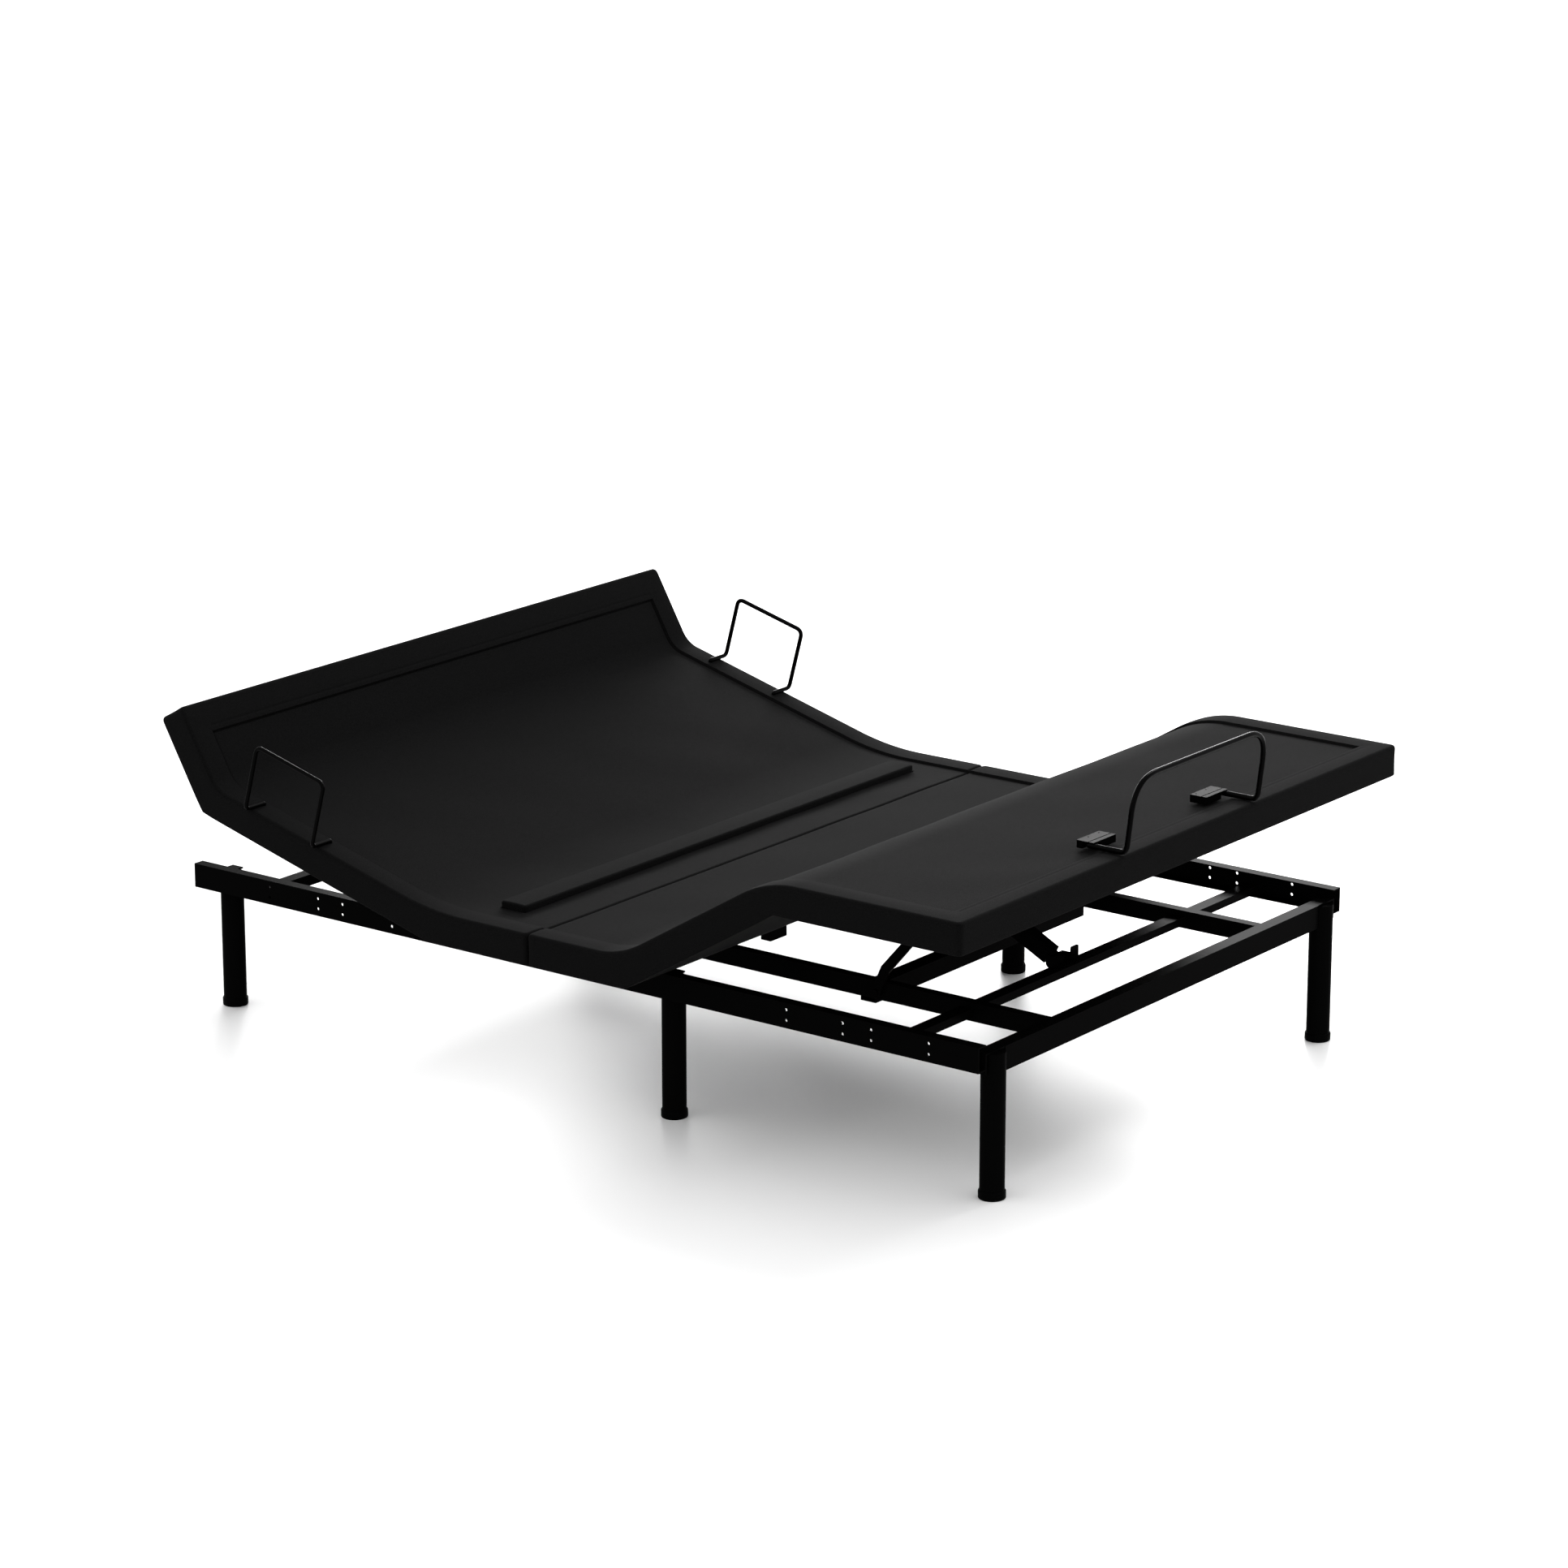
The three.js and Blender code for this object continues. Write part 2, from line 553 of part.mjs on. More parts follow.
// The runner below the back board. Its lower face follows the path that the cross bar of
// the lift arm makes under the board as both turn through the same angle.
function backRunner() {
  const top = BOARD_BOTTOM - GAP;
  const lower = [];
  for (let angle = -6; angle <= 66; angle += 4) {
    const tip = armTip(LIFT_ARM.flatAngle + angle);
    const dx = tip.x - BACK_HINGE_X;
    const dz = tip.z - HINGE_Z;
    const c = Math.cos(rad(angle));
    const s = Math.sin(rad(angle));
    lower.push([dx * c - dz * s, Math.min(dx * s + dz * c + LIFT_ARM.shoe + 2.4, top - 1)]);
  }
  const first = lower[0][0];
  const last = lower[lower.length - 1][0];
  return extrude("y", [[first, top], ...lower, [last, top]].reverse(), -24, 24);
}

// An actuator lies along local x: its eye at 0, its rod's eye at the given length.
function actuatorBody(y, tube, motor) {
  const shell = tube.square
    ? extrude("x", [
      [y - tube.half, -tube.half], [y + tube.half, -tube.half], [y + tube.half, tube.half],
      [y + tube.half - 2, tube.half], [y + tube.half - 2, -tube.half + 2],
      [y - tube.half + 2, -tube.half + 2], [y - tube.half + 2, tube.half], [y - tube.half, tube.half],
    ], tube.from - 6, tube.to)
    : cut(rod("x", y, 0, tube.half, tube.from - 6, tube.to),
      rod("x", y, 0, tube.half - 1.6, tube.from + 4, tube.to + 1));
  const end = box(tube.from - 10, tube.from, y - tube.half, y + tube.half, -tube.half, tube.half);
  const neck = box(3, tube.from - 8, y - 8, y + 8, -9, 9);
  const eye = rod("y", 0, 0, tube.eye, y - 8, y + 8);
  const [m0, m1, side, depth, height] = motor;
  const [ym0, ym1] = side < 0 ? [y - tube.half - depth, y - tube.half + 1.5] : [y + tube.half - 1.5, y + tube.half + depth];
  const gearbox = box(m0, m1, ym0, ym1, -height, height);
  return cut(join(shell, end, neck, eye, gearbox), rod("y", 0, 0, 5.4, y - 12, y + 12, 12));
}

function actuatorRod(y, length, from, radius, earGap, eye) {
  const stem = rod("x", y, 0, radius, from, length - (earGap ? 28 : 6), 12);
  if (!earGap) {
    const end = rod("y", length, 0, eye, y - 7, y + 7);
    return cut(join(stem, end), rod("y", length, 0, 5.4, y - 12, y + 12, 12));
  }
  const ears = [-1, 1].map((side) => {
    const [y0, y1] = side < 0 ? [y - earGap - 5, y - earGap] : [y + earGap, y + earGap + 5];
    return extrude("y", rounded([
      [length - 30, -10, 0], [length + 10, -10, 8], [length + 10, 10, 8], [length - 30, 10, 0],
    ], 3), y0, y1);
  });
  const block = box(length - 32, length - 24, y - earGap - 5, y + earGap + 5, -10, 10);
  const pin = rod("y", length, 0, 5, y - earGap - 3, y + earGap + 3, 12);
  return join(stem, block, ...ears, pin);
}

function reach(from, to) {
  return {
    length: Math.hypot(to.x - from.x, to.z - from.z),
    angle: THREE.MathUtils.radToDeg(Math.atan2(to.z - from.z, to.x - from.x)),
  };
}

function thighPin() {
  const c = Math.cos(rad(THIGH_ANGLE));
  const s = Math.sin(rad(THIGH_ANGLE));
  return {
    x: THIGH_HINGE_X + THIGH_PIN.s * c - THIGH_PIN.z * s,
    z: HINGE_Z + THIGH_PIN.s * s + THIGH_PIN.z * c,
  };
}

function actuators() {
  const back = reach(BACK_ANCHOR, crankPin());
  const foot = reach(FOOT_ANCHOR, thighPin());
  const backTube = { half: 18, from: 40, to: 236, eye: 12 };
  const footTube = { half: 14, from: 24, to: 170, eye: 11, square: true };
  return [
    tilted(BACK_ANCHOR.x, BACK_ANCHOR.z, back.angle,
      part("back_actuator_body", actuatorBody(LIFT_ARM.crankY, backTube, [34, 104, 1, 62, 22]), blackPlastic),
      part("back_actuator_rod", actuatorRod(LIFT_ARM.crankY, back.length, 150, 8, 4.6, 0), zincSteel)),
    tilted(FOOT_ANCHOR.x, FOOT_ANCHOR.z, foot.angle,
      part("foot_actuator_body", actuatorBody(FOOT_ANCHOR.y, footTube, [112, 166, 1, 46, 13]), blackSteel),
      part("foot_actuator_rod", actuatorRod(FOOT_ANCHOR.y, foot.length, 142, 5, 0, 9.5), zincSteel)),
  ];
}

function thighBracket() {
  const { s, z } = THIGH_PIN;
  const y = FOOT_ANCHOR.y;
  const top = BOARD_BOTTOM - GAP;
  const plate = box(s - 26, s + 26, y - 24, y + 24, top - 2.4, top);
  const ears = [-1, 1].map((side) => {
    const [y0, y1] = side < 0 ? [y - 11.5, y - 7.5] : [y + 7.5, y + 11.5];
    return extrude("y", rounded([
      [s - 20, top - 1, 0], [s - 8, z - 9, 6], [s + 8, z - 9, 6], [s + 20, top - 1, 0],
    ], 3), y0, y1);
  });
  return join(plate, ...ears, rod("y", s, z, 5, y - 9.5, y + 9.5, 12));
}

// The head tilt is driven from below its own board, against a bracket on the back board.
const TILT_ANCHOR = { x: -147, z: -50 };
const TILT_PIN = { x: -5, z: -40 };

function tiltDrive() {
  const c = Math.cos(rad(TILT_ANGLE));
  const s = Math.sin(rad(TILT_ANGLE));
  const pin = { x: TILT_PIN.x * c - TILT_PIN.z * s, z: TILT_PIN.x * s + TILT_PIN.z * c };
  const { length, angle } = reach(TILT_ANCHOR, pin);
  const top = BOARD_BOTTOM - GAP;
  const plate = box(TILT_ANCHOR.x - 22, TILT_ANCHOR.x + 22, -24, 24, top - 2.4, top);
  const ears = [-1, 1].map((side) => {
    const [y0, y1] = span(side, 9, 13);
    return extrude("y", rounded([
      [TILT_ANCHOR.x - 18, top - 1, 0], [TILT_ANCHOR.x - 8, TILT_ANCHOR.z - 9, 6],
      [TILT_ANCHOR.x + 8, TILT_ANCHOR.z - 9, 6], [TILT_ANCHOR.x + 18, top - 1, 0],
    ], 3), y0, y1);
  });
  const mount = join(plate, ...ears, rod("y", TILT_ANCHOR.x, TILT_ANCHOR.z, 5, -11, 11, 12));
  const tube = { half: 12, from: 38, to: 106, eye: 10 };
  return [
    part("tilt_mount", mount, blackSteel),
    tilted(TILT_ANCHOR.x, TILT_ANCHOR.z, angle,
      part("tilt_actuator_body", actuatorBody(0, tube, [32, 76, 1, 38, 12]), blackPlastic),
      part("tilt_actuator_rod", actuatorRod(0, length, 76, 6, 0, 9), zincSteel)),
  ];
}

function tiltBracket() {
  const x = -BACK_LENGTH + TILT_PIN.x;
  const z = TILT_PIN.z;
  const top = BOARD_BOTTOM - GAP;
  const plate = box(-BACK_LENGTH + 8, -BACK_LENGTH + 50, -22, 22, top - 2.4, top);
  const ears = [-1, 1].map((side) => {
    const [y0, y1] = span(side, 7.6, 11.6);
    const outline = rounded([
      [x + 52, top - 1, 0], [x + 14, top - 1, 0], [x - 8, z + 8, 6], [x - 8, z - 9, 7], [x + 12, z - 9, 6],
    ], 3);
    return extrude("y", outline.reverse(), y0, y1);
  });
  return join(plate, ...ears, rod("y", x, z, 5, -9.6, 9.6, 12));
}

// ---- foot links ---------------------------------------------------------------------
// A bent flat bar from the inner rail up to a roller that runs in a track below the foot.
function footLink(side) {
  const y = span(side, LINK.from, LINK.from + LINK.thick);
  const bar = extrude("y", rounded([
    [0, -9, 0], [46, 2.5, 0], [LINK.length + 9, -8, 7], [LINK.length + 9, 8, 7], [46, 20.5, 0], [0, 9, 0],
  ], 3), ...y);
  const eye = rod("y", 0, 0, 10, ...y);
  const roller = rod("y", LINK.length, 0, 7.5, ...span(side, LINK.from + 2, LINK.from + LINK.thick + 11), 14);
  return cut(join(bar, eye, roller), rod("y", 0, 0, 5.5, ...span(side, LINK.from - 3, LINK.from + 20), 12));
}

function linkTrack(side) {
  const top = BOARD_BOTTOM - GAP;
  const low = top - 32;
  const [wall0, wall1] = span(side, LINK.from + 19, LINK.from + 21);
  const [lip0, lip1] = span(side, LINK.from + 9, LINK.from + 21);
  return join(
    box(119, 204, wall0, wall1, low, top),
    box(119, 204, lip0, lip1, low, low + 2),
    box(119, 204, lip0, lip1, top - 2, top),
  );
}

// ---- lumbar bar, its drive and the control box --------------------------------------
function lumbar() {
  const middle = (LUMBAR.from + LUMBAR.to) / 2;
  const bar = extrude("z", rounded([
    [LUMBAR.from, -LUMBAR.half, 10], [LUMBAR.to, -LUMBAR.half, 10],
    [LUMBAR.to, LUMBAR.half, 10], [LUMBAR.from, LUMBAR.half, 10],
  ], 3), LUMBAR.bottom, LUMBAR.top);
  const posts = [-300, 0, 300].map((y) => rod("z", middle, y, 8, 232, LUMBAR.bottom - 3, 12));
  const strip = box(LUMBAR.from + 3, LUMBAR.to - 3, -560, 560, LUMBAR.bottom - 4, LUMBAR.bottom - GAP);
  const housing = box(middle - 34, middle + 34, -52, 52, 218, HINGE_Z + BOARD_BOTTOM - GAP);
  return [
    part("lumbar_bar", bar, charcoalFabric),
    part("lumbar_carriage", join(strip, ...posts), zincSteel),
    part("lumbar_motor", cut(housing, rod("z", middle, 0, 9, 200, 300, 12)), blackPlastic),
  ];
}

function controlBox() {
  const y1 = INNER_RAIL.inside - GAP;
  const shell = extrude("z", rounded([
    [812, y1 - 96, 8], [962, y1 - 96, 8], [962, y1, 2], [812, y1, 2],
  ], 3), 214, 254);
  const inlet = box(852, 880, y1 - 100, y1 - 84, 226, 242);
  return cut(shell, inlet);
}

// ---- assembly -----------------------------------------------------------------------
const base = new THREE.Group();
base.add(
  ...frame(),
  ...seatSection(),
  backSection(),
  thighSection(),
  ...lumbar(),
  part("back_lift_arm", liftArm(), blackSteel),
  ...actuators(),
  ...SIDES.map(([name, side]) =>
    tilted(LINK_PIVOT.x, LINK_PIVOT.z, LINK.angle, part(`foot_link_${name}`, footLink(side), blackSteel))),
  part("control_box", controlBox(), blackPlastic),
);
base.position.x = -ORIGIN_X;

const bed = new THREE.Group();
bed.add(base);
export default bed;
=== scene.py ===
"""Adjustable bed base: upholstered deck, steel frame, wire retainers, floor, lights and camera.
Lengths are in metres in the frame's own axes: +X from head to foot, +Y to the far side, +Z up."""

import json
import math

import bmesh
import bpy
import numpy as np
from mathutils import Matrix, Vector


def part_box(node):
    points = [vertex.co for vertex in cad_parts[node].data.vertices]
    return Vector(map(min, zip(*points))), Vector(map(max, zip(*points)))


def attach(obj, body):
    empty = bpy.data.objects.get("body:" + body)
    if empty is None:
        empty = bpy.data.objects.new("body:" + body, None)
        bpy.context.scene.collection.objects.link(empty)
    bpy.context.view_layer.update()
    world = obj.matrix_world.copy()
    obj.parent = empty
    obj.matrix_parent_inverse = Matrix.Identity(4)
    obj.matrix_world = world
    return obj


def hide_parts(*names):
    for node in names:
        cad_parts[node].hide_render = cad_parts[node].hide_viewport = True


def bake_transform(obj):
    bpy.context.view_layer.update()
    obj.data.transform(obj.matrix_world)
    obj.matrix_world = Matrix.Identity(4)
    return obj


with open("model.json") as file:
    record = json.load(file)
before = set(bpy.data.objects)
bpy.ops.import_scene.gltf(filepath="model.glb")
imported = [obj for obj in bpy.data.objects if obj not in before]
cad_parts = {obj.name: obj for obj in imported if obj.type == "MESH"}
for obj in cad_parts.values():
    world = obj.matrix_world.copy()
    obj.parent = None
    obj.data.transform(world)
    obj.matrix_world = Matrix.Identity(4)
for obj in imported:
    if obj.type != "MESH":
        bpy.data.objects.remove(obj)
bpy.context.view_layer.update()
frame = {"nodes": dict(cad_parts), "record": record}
nodes = frame["nodes"]
joints = {j["name"]: j for j in frame["record"]["behaviour"]["joints"]}

MM = 0.001
SHARP = math.radians(55)  # edges that turn by more than this are creased

# ---- deck layout, read from the frame ----------------------------------------------------
back_hinge_x, _, hinge_z = joints["back_fold"]["pos_m"]
thigh_hinge_x = joints["thigh_fold"]["pos_m"][0]
tilt_hinge = Vector(joints["head_tilt"]["pos_m"])
knee_hinge = Vector(joints["knee_fold"]["pos_m"])
BACK_LENGTH = math.hypot(tilt_hinge.x - back_hinge_x, tilt_hinge.z - hinge_z)
BACK_ANGLE = math.atan2(tilt_hinge.z - hinge_z, back_hinge_x - tilt_hinge.x)
THIGH_LENGTH = math.hypot(knee_hinge.x - thigh_hinge_x, knee_hinge.z - hinge_z)
THIGH_ANGLE = math.atan2(knee_hinge.z - hinge_z, knee_hinge.x - thigh_hinge_x)
TILT_ANGLE = math.radians(45)
TILT_LENGTH = 180 * MM
FOOT_LENGTH = 382 * MM
seam_x = (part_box("seat_board_head")[1].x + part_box("seat_board_foot")[0].x) / 2

# places along the deck laid flat, as if every section lay level with the seat
TILT_S = back_hinge_x - BACK_LENGTH
HEAD_END = TILT_S - TILT_LENGTH
KNEE_S = thigh_hinge_x + THIGH_LENGTH
FOOT_END = KNEE_S + FOOT_LENGTH
# half the length over which the cover turns at each hinge
TILT_BEND, BACK_BEND, THIGH_BEND, KNEE_BEND = 40 * MM, 80 * MM, 64 * MM, 50 * MM

COVER_HALF = 686 * MM
COVER_TOP = 39.4 * MM  # above the hinge axis
COVER_BOTTOM = -17.3 * MM  # just under the boards
BORDER = 636 * MM  # half the width inside the raised border
BORDER_HEAD = HEAD_END + 58 * MM
BORDER_FOOT = FOOT_END - 48 * MM
PANEL_DROP = 4.2 * MM
SEAM_GAP = 0.8 * MM


# ---- small mesh tools ---------------------------------------------------------------------
def new_object(name, verts, faces, material):
    mesh = bpy.data.meshes.new(name)
    mesh.from_pydata([tuple(v) for v in verts], [], faces)
    work = bmesh.new()
    work.from_mesh(mesh)
    bmesh.ops.remove_doubles(work, verts=work.verts, dist=0.02 * MM)
    bmesh.ops.recalc_face_normals(work, faces=work.faces)
    for edge in work.edges:
        edge.smooth = edge.calc_face_angle(0) < SHARP
    work.to_mesh(mesh)
    work.free()
    for polygon in mesh.polygons:
        polygon.use_smooth = True
    mesh.materials.append(material)
    obj = bpy.data.objects.new(name, mesh)
    bpy.context.collection.objects.link(obj)
    return obj


def smoothstep(t):
    t = np.clip(t, 0, 1)
    return t * t * (3 - 2 * t)


def samples(low, high, step, lines=(), near=()):
    """Sorted positions from low to high, with extra ones around each feature line."""
    count = max(int(round((high - low) / step)), 2)
    fixed = [low, high] + [p for p in lines if low < p < high]
    extra = [line + d for line, offsets in near for d in offsets]
    wanted = list(np.linspace(low, high, count + 1)) + extra
    kept = sorted(fixed)
    for p in wanted:
        if low < p < high and min(abs(p - k) for k in kept) > 1.0 * MM:
            kept.append(p)
    return np.array(sorted(kept))


# ---- materials ----------------------------------------------------------------------------
def principled(name, color, roughness, metallic=0.0, **sockets):
    material = bpy.data.materials.new(name)
    material.use_nodes = True
    shader = material.node_tree.nodes["Principled BSDF"]
    shader.inputs["Base Color"].default_value = (*color, 1)
    shader.inputs["Roughness"].default_value = roughness
    shader.inputs["Metallic"].default_value = metallic
    for socket, value in sockets.items():
        shader.inputs[socket.replace("_", " ")].default_value = value
    return material


def add_grain(material, scale, strength, colors=None, detail=3.0, distance=0.2 * MM):
    """Fine procedural grain as a bump, and as a change of colour if two colours are given."""
    tree = material.node_tree
    shader = tree.nodes["Principled BSDF"]
    coords = tree.nodes.new("ShaderNodeTexCoord")
    noise = tree.nodes.new("ShaderNodeTexNoise")
    noise.inputs["Scale"].default_value = scale
    noise.inputs["Detail"].default_value = detail
    tree.links.new(coords.outputs["Object"], noise.inputs["Vector"])
    bump = tree.nodes.new("ShaderNodeBump")
    bump.inputs["Strength"].default_value = strength
    bump.inputs["Distance"].default_value = distance
    tree.links.new(noise.outputs["Fac"], bump.inputs["Height"])
    tree.links.new(bump.outputs["Normal"], shader.inputs["Normal"])
    if colors:
        ramp = tree.nodes.new("ShaderNodeValToRGB")
        for element, place, color in zip(ramp.color_ramp.elements, (0.36, 0.66), colors):
            element.position = place
            element.color = (*color, 1)
        tree.links.new(noise.outputs["Fac"], ramp.inputs["Fac"])
        tree.links.new(ramp.outputs["Color"], shader.inputs["Base Color"])
    return material


def fabric_material():
    material = principled("cover_fabric", (0.002, 0.002, 0.002), 0.9, Specular_IOR_Level=0.05)
    dark = (0.0006, 0.0006, 0.0006)
    light = (0.0028, 0.0028, 0.0029)
    return add_grain(material, 620, 0.55, (dark, light), detail=4.0, distance=0.5 * MM)


MATERIALS = {
    "cover_fabric": fabric_material(),
    "frame_steel": add_grain(principled("frame_steel", (0.0012, 0.0012, 0.0012), 0.26,
                                        Specular_IOR_Level=0.003), 900, 0.05),
    "retainer_steel": principled("retainer_steel", (0.0006, 0.0006, 0.0006), 0.2,
                                 Specular_IOR_Level=0.02),
    "zinc_steel": add_grain(principled("zinc_steel", (0.42, 0.43, 0.44), 0.34, 1.0), 260, 0.06,
                            ((0.34, 0.35, 0.36), (0.5, 0.51, 0.52))),
    "board_wood": add_grain(principled("board_wood", (0.0012, 0.0011, 0.001), 0.75,
                                       Specular_IOR_Level=0.05), 60, 0.2,
                            ((0.0008, 0.0007, 0.0007), (0.0016, 0.0014, 0.0012))),
    "black_plastic": add_grain(principled("black_plastic", (0.001, 0.001, 0.001), 0.35,
                                          Specular_IOR_Level=0.006), 700, 0.08),
    "nylon": add_grain(principled("nylon", (0.7, 0.68, 0.63), 0.45), 200, 0.03),
}


# ---- the path of the deck -----------------------------------------------------------------
def fold(s, z, hinge, bend, angle, raises_head):
    """Turns one side of a hinge up by angle, round an arc that starts and ends bend from the hinge."""
    sign = 1 if raises_head else -1
    away = sign * (hinge - s)
    turn = angle * np.clip((away + bend) / (2 * bend), 0, 1)
    radius = bend / math.tan(angle / 2)
    along = np.where(away > bend, away * math.cos(angle), radius * np.sin(turn) - bend)
    along = np.where(away < -bend, away, along)
    rise = np.where(away > bend, away * math.sin(angle), radius * (1 - np.cos(turn)))
    return hinge - sign * (along - z * np.sin(turn)), rise + z * np.cos(turn)


def on_deck(s, z):
    """Place in the frame of a point at s along the flat deck and z above the hinge axes."""
    s, z = fold(s, z, TILT_S, TILT_BEND, TILT_ANGLE, True)
    s, z = fold(s, z, back_hinge_x, BACK_BEND, BACK_ANGLE, True)
    s, z = fold(s, z, KNEE_S, KNEE_BEND, -THIGH_ANGLE, False)
    s, z = fold(s, z, thigh_hinge_x, THIGH_BEND, THIGH_ANGLE, False)
    return s, z + hinge_z


# ---- upholstered slabs --------------------------------------------------------------------
FREE, SEAM, SPLIT, BAR = "free", "seam", "split", "bar"
EDGE_RADIUS = {FREE: 6.5 * MM, SEAM: 5 * MM, SPLIT: 0.0, BAR: 4 * MM}
CORNER_RADIUS = {FREE: 4 * MM, SEAM: 3 * MM, SPLIT: 0.0, BAR: 2 * MM}


def slab(name, s_range, half, bottom, ends, top, place, s_near=(), y_near=(), s_lines=(), y_lines=(),
         side_radius=6.5 * MM, under_radius=2.8 * MM, step=9 * MM):
    """A closed upholstered slab. top gives the height of its face, place bends it into the frame."""
    radius = [EDGE_RADIUS[e] for e in ends]
    corner = [CORNER_RADIUS[e] for e in ends]
    s0 = s_range[0] + radius[0]
    s1 = s_range[1] - radius[1]
    w = half - side_radius
    corner_steps = np.linspace(0, 1, 6)
    s_near = list(s_near) + [(s0, corner[0] * corner_steps), (s1, -corner[1] * corner_steps)]
    widest = max(corner)
    y_near = list(y_near) + [(-w, widest * corner_steps), (w, -widest * corner_steps)]
    ss = samples(s0, s1, step, s_lines, s_near)
    ys = samples(-w, w, step, y_lines, y_near)
    grid_s, grid_y = np.meshgrid(ss, ys, indexing="ij")
    normal = np.zeros(grid_s.shape + (2,))
    normal[0, :] += (-1, 0)
    normal[-1, :] += (1, 0)
    normal[:, 0] += (0, -1)
    normal[:, -1] += (0, 1)
    plan_s, plan_y = grid_s.copy(), grid_y.copy()
    for end, s_edge, inward in ((0, s0, 1), (1, s1, -1)):
        r = corner[end]
        if r == 0:
            continue
        for side in (-1, 1):
            u = (s_edge + inward * r - grid_s) * inward / r
            v = (grid_y * side - (w - r)) / r
            inside = (u >= 0) & (v >= 0)
            u, v = np.clip(u, 0, 1), np.clip(v, 0, 1)
            disc_u = u * np.sqrt(1 - v * v / 2)
            disc_v = v * np.sqrt(1 - u * u / 2)
            plan_s = np.where(inside, s_edge + inward * r - inward * disc_u * r, plan_s)
            plan_y = np.where(inside, side * (w - r + disc_v * r), plan_y)
            out = np.stack([-inward * disc_u, side * disc_v], -1)
            normal = np.where((inside & (np.hypot(disc_u, disc_v) > 0.5))[..., None], out, normal)
    length = np.maximum(np.linalg.norm(normal, axis=-1, keepdims=True), 1e-9)
    normal = normal / length
    if radius[0] == 0:
        normal[0, 0], normal[0, -1] = (0, -1), (0, 1)
    if radius[1] == 0:
        normal[-1, 0], normal[-1, -1] = (0, -1), (0, 1)

    rows, cols = grid_s.shape
    loop = [(i, 0) for i in range(rows)]
    loop += [(rows - 1, j) for j in range(1, cols)]
    loop += [(i, cols - 1) for i in range(rows - 2, -1, -1)]
    loop += [(0, j) for j in range(cols - 2, 0, -1)]
    li = np.array([p[0] for p in loop])
    lj = np.array([p[1] for p in loop])
    rim_s, rim_y = plan_s[li, lj], plan_y[li, lj]
    rim_n = normal[li, lj]
    end_radius = np.where(li < rows / 2, radius[0], radius[1])
    spread_s = np.where(rim_n[:, 0] != 0, end_radius, 0) * rim_n[:, 0]
    spread_y = side_radius * rim_n[:, 1]
    depth = np.abs(rim_n[:, 0]) * end_radius + np.abs(rim_n[:, 1]) * side_radius
    depth = np.minimum(depth, side_radius)
    rim_top = top(rim_s, rim_y)

    layers = []
    for k in range(1, 6):
        phi = k / 5 * math.pi / 2
        layers.append((rim_s + spread_s * math.sin(phi), rim_y + spread_y * math.sin(phi),
                       rim_top - depth * (1 - math.cos(phi))))
    low = bottom + under_radius
    for t in (0.35, 0.7, 1.0):
        pull = 1 - 0.09 * math.sin(math.pi * t)
        layers.append((rim_s + spread_s * pull, rim_y + spread_y * pull,
                       (rim_top - depth) * (1 - t) + low * t))
    shrink = under_radius / side_radius
    for k in range(1, 4):
        phi = k / 3 * math.pi / 2
        inset = 1 - shrink * (1 - math.cos(phi))
        layers.append((rim_s + spread_s * inset, rim_y + spread_y * inset,
                       np.full_like(rim_s, low - under_radius * math.sin(phi))))
    under_s, under_y = plan_s.copy(), plan_y.copy()
    under_s[li, lj], under_y[li, lj] = layers[-1][0], layers[-1][1]

    sheets = [(plan_s.ravel(), plan_y.ravel(), top(plan_s, plan_y).ravel()),
              (under_s.ravel(), under_y.ravel(), np.full(rows * cols, bottom))] + layers
    s_all = np.concatenate([a[0] for a in sheets])
    y_all = np.concatenate([a[1] for a in sheets])
    z_all = np.concatenate([a[2] for a in sheets])
    x_all, z_all = place(s_all, z_all)
    verts = np.stack([x_all, y_all, z_all], 1)

    count = rows * cols
    faces = []
    for i in range(rows - 1):
        for j in range(cols - 1):
            a = i * cols + j
            faces.append((a, a + cols, a + cols + 1, a + 1))
            faces.append((count + a, count + a + 1, count + a + cols + 1, count + a + cols))
    around = len(loop)
    rings = [li * cols + lj]
    rings += [2 * count + k * around + np.arange(around) for k in range(len(layers))]
    for upper, lower in zip(rings[:-1], rings[1:]):
        for k in range(around):
            m = (k + 1) % around
            faces.append((int(upper[k]), int(upper[m]), int(lower[m]), int(lower[k])))
    last = rings[-1]
    seam_ring = count + rings[0]
    for k in range(around):
        m = (k + 1) % around
        faces.append((int(last[k]), int(last[m]), int(seam_ring[m]), int(seam_ring[k])))
    return new_object(name, verts, faces, MATERIALS["cover_fabric"])


LUMBAR_LOW, LUMBAR_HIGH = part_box("lumbar_bar")
SLOT_X = (LUMBAR_LOW.x - 0.7 * MM, LUMBAR_HIGH.x + 0.7 * MM)
SLOT_HALF = LUMBAR_HIGH.y + 0.9 * MM
SLOT_WALL = 0.6 * MM
BORDER_OFFSETS = np.array([-14, -11.2, -10, -8.8, -6, -4.8, -3.6, -2.4, -1.2,
                           0, 1.2, 2.4, 3.6, 4.8, 6, 9, 14]) * MM
BORDER_STEP = 2.6 * MM  # width of the step down to the panel
GROOVE_PLACE, GROOVE_WIDTH, GROOVE_DEPTH = 3 * MM, 1.5 * MM, 2.8 * MM
END_LINE_PLACE, END_LINE_WIDTH, END_LINE_DEPTH = 10 * MM, 1.4 * MM, 1.2 * MM


